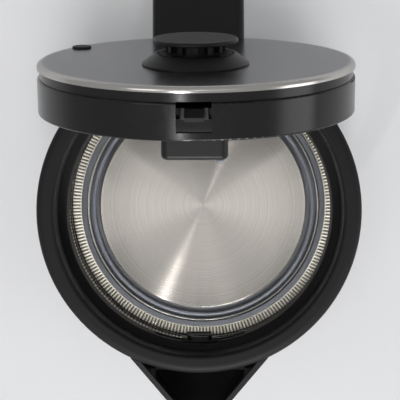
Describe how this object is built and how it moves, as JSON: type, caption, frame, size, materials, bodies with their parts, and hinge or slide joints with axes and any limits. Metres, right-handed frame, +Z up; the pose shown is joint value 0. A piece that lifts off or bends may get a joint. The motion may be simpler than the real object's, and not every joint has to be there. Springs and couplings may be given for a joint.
{
  "type": "electric kettle",
  "caption": "Glass electric kettle with its round lid open, black collar, spout and handle, on a cordless power base.",
  "frame": {"origin": "on the table plane, on the glass jug's axis", "axes": "+Z up along the jug's axis, +Y towards the handle, -Y towards the spout"},
  "size_m": [0.164, 0.2263, 0.3407],
  "materials": {
    "black_satin": "fine matte",
    "black_gloss": "gloss",
    "black_matte": "matte",
    "polished_steel": "polished",
    "brushed_steel": "concentric brushing",
    "spring_steel": "drawn wire",
    "fluted_steel": "pressed radial ribs",
    "silicone": "matte",
    "rubber_foot": "matte",
    "clear_glass": "clear",
    "aluminium": "cast",
    "brass": "turned",
    "inner_plastic": "moulded"
  },
  "bodies": {
    "power_base": {"base_shell": "black_satin", "base_floor": "black_matte", "base_screws": "spring_steel", "base_feet": "rubber_foot", "base_connector": "black_matte", "base_contacts": "brass", "cord_gland": "black_matte"},
    "kettle": {"bottom_housing": "black_satin", "bottom_cover": "black_matte", "cover_screws": "spring_steel", "connector_socket": "black_matte", "control_unit": "inner_plastic", "heater_plate": "brushed_steel", "plate_seal": "silicone", "seal_sleeve": "polished_steel", "jug_seal": "silicone", "fluted_ring": "fluted_steel", "heat_spreader": "aluminium", "heating_element": "spring_steel", "temperature_probe": "polished_steel", "probe_seal": "silicone", "glass_jug": "clear_glass", "rim_seal": "silicone", "collar_inner": "black_matte", "collar_cover": "black_matte", "spout": "black_gloss", "spout_filter": "black_matte", "lid_striker": "black_satin", "hinge_pin": "spring_steel", "hinge_spring": "spring_steel", "handle_shell": "black_satin", "grip_cover": "black_matte", "grip_screws": "spring_steel", "switch_pin": "spring_steel"},
    "lid": {"lid_cap": "polished_steel", "lid_body": "black_gloss", "lid_liner": "black_satin", "lid_screws": "spring_steel", "latch_housing": "black_satin", "vent_plug": "black_matte", "knob_base": "black_satin", "latch_spring": "spring_steel"},
    "lid_button": {"lid_button": "black_satin"},
    "latch_bolt": {"latch_bolt": "black_satin"},
    "switch_lever": {"switch_lever": "black_gloss"}
  },
  "joints": [
    {"name": "kettle_lift", "type": "slide", "parent": "power_base", "child": "kettle", "axis": [0, 0, 1], "range_m": [0, 0.03]},
    {"name": "lid_hinge", "type": "hinge", "parent": "kettle", "child": "lid", "pos_m": [0, 0.071, 0.2052], "axis": [1, 0, 0], "range_deg": [0, 76], "stiffness_Nm_per_rad": 0.085, "springref_deg": -60.16, "deforming": ["hinge_spring"]},
    {"name": "button_press", "type": "slide", "parent": "lid", "child": "lid_button", "axis": [0, -0.9703, -0.2419], "range_m": [0, 0.003], "stiffness_N_per_m": 400, "springref_m": -0.003},
    {"name": "latch_slide", "type": "slide", "parent": "lid", "child": "latch_bolt", "axis": [0, 0.2419, -0.9703], "range_m": [0, 0.003], "stiffness_N_per_m": 300, "springref_m": -0.003, "deforming": ["latch_spring"]},
    {"name": "switch_rock", "type": "hinge", "parent": "kettle", "child": "switch_lever", "pos_m": [0, 0.104, 0.042], "axis": [-1, 0, 0], "range_deg": [0, 14]}
  ],
  "couplings": [
    {"joint": "latch_slide", "follows": "button_press", "ratio": 1}
  ]
}
